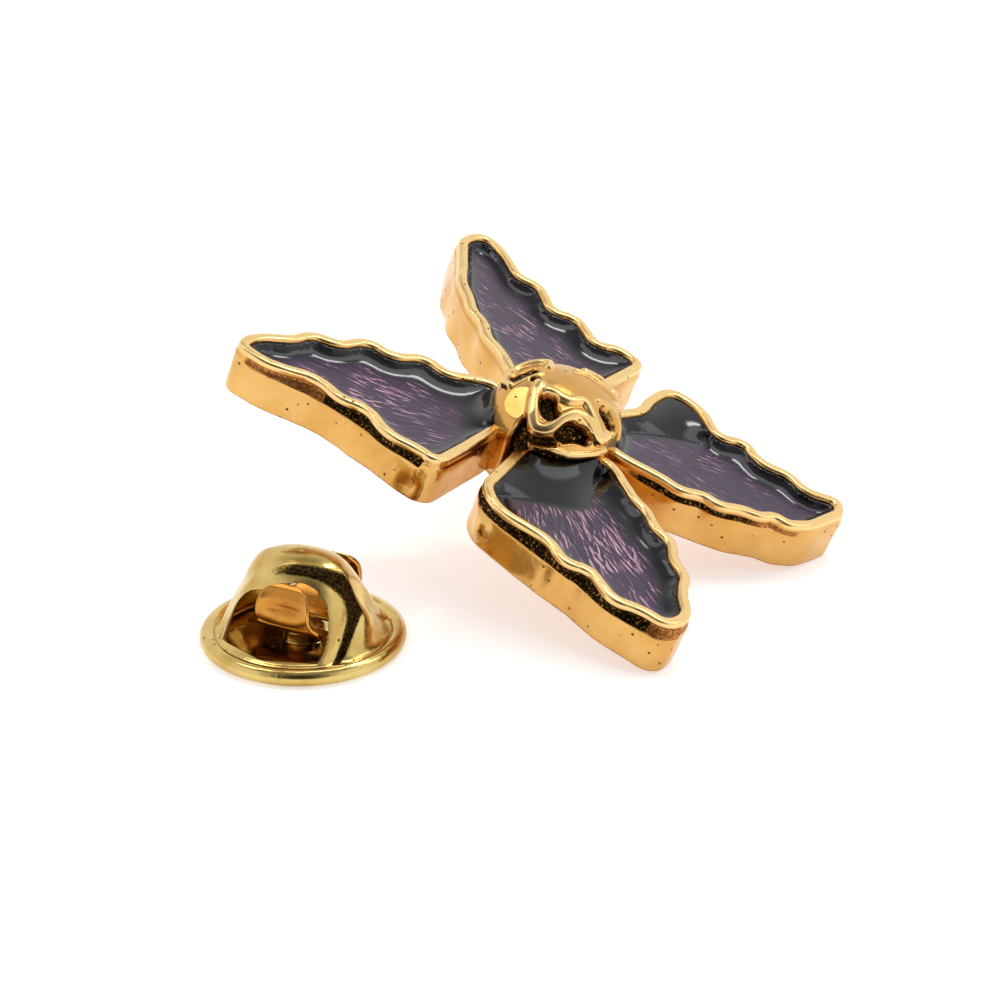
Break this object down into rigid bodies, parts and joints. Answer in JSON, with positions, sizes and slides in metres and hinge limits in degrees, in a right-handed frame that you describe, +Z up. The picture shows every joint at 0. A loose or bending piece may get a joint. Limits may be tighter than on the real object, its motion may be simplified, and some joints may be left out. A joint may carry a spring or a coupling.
{
  "type": "enamelled lapel brooch",
  "caption": "Small cast butterfly brooch with scalloped enamelled wings, a domed body and a pin post, beside its round spring clutch.",
  "frame": {"origin": "on the surface, under the centre of the bounding box of brooch and clutch together", "axes": "+Z up, -X towards the raised front wings along the brooch's body axis, +Y across the wings, away from the clutch"},
  "size_m": [0.031, 0.0376, 0.0148],
  "materials": {
    "gold_plate": "polished",
    "enamel": "gloss",
    "clutch_metal": "polished"
  },
  "bodies": {
    "root": {"brooch_casting": "gold_plate", "enamel_front_left": "enamel", "enamel_front_right": "enamel", "enamel_rear_left": "enamel", "enamel_rear_right": "enamel", "clutch_base": "clutch_metal", "clutch_cap": "clutch_metal", "clutch_spring": "clutch_metal"}
  },
  "joints": []
}
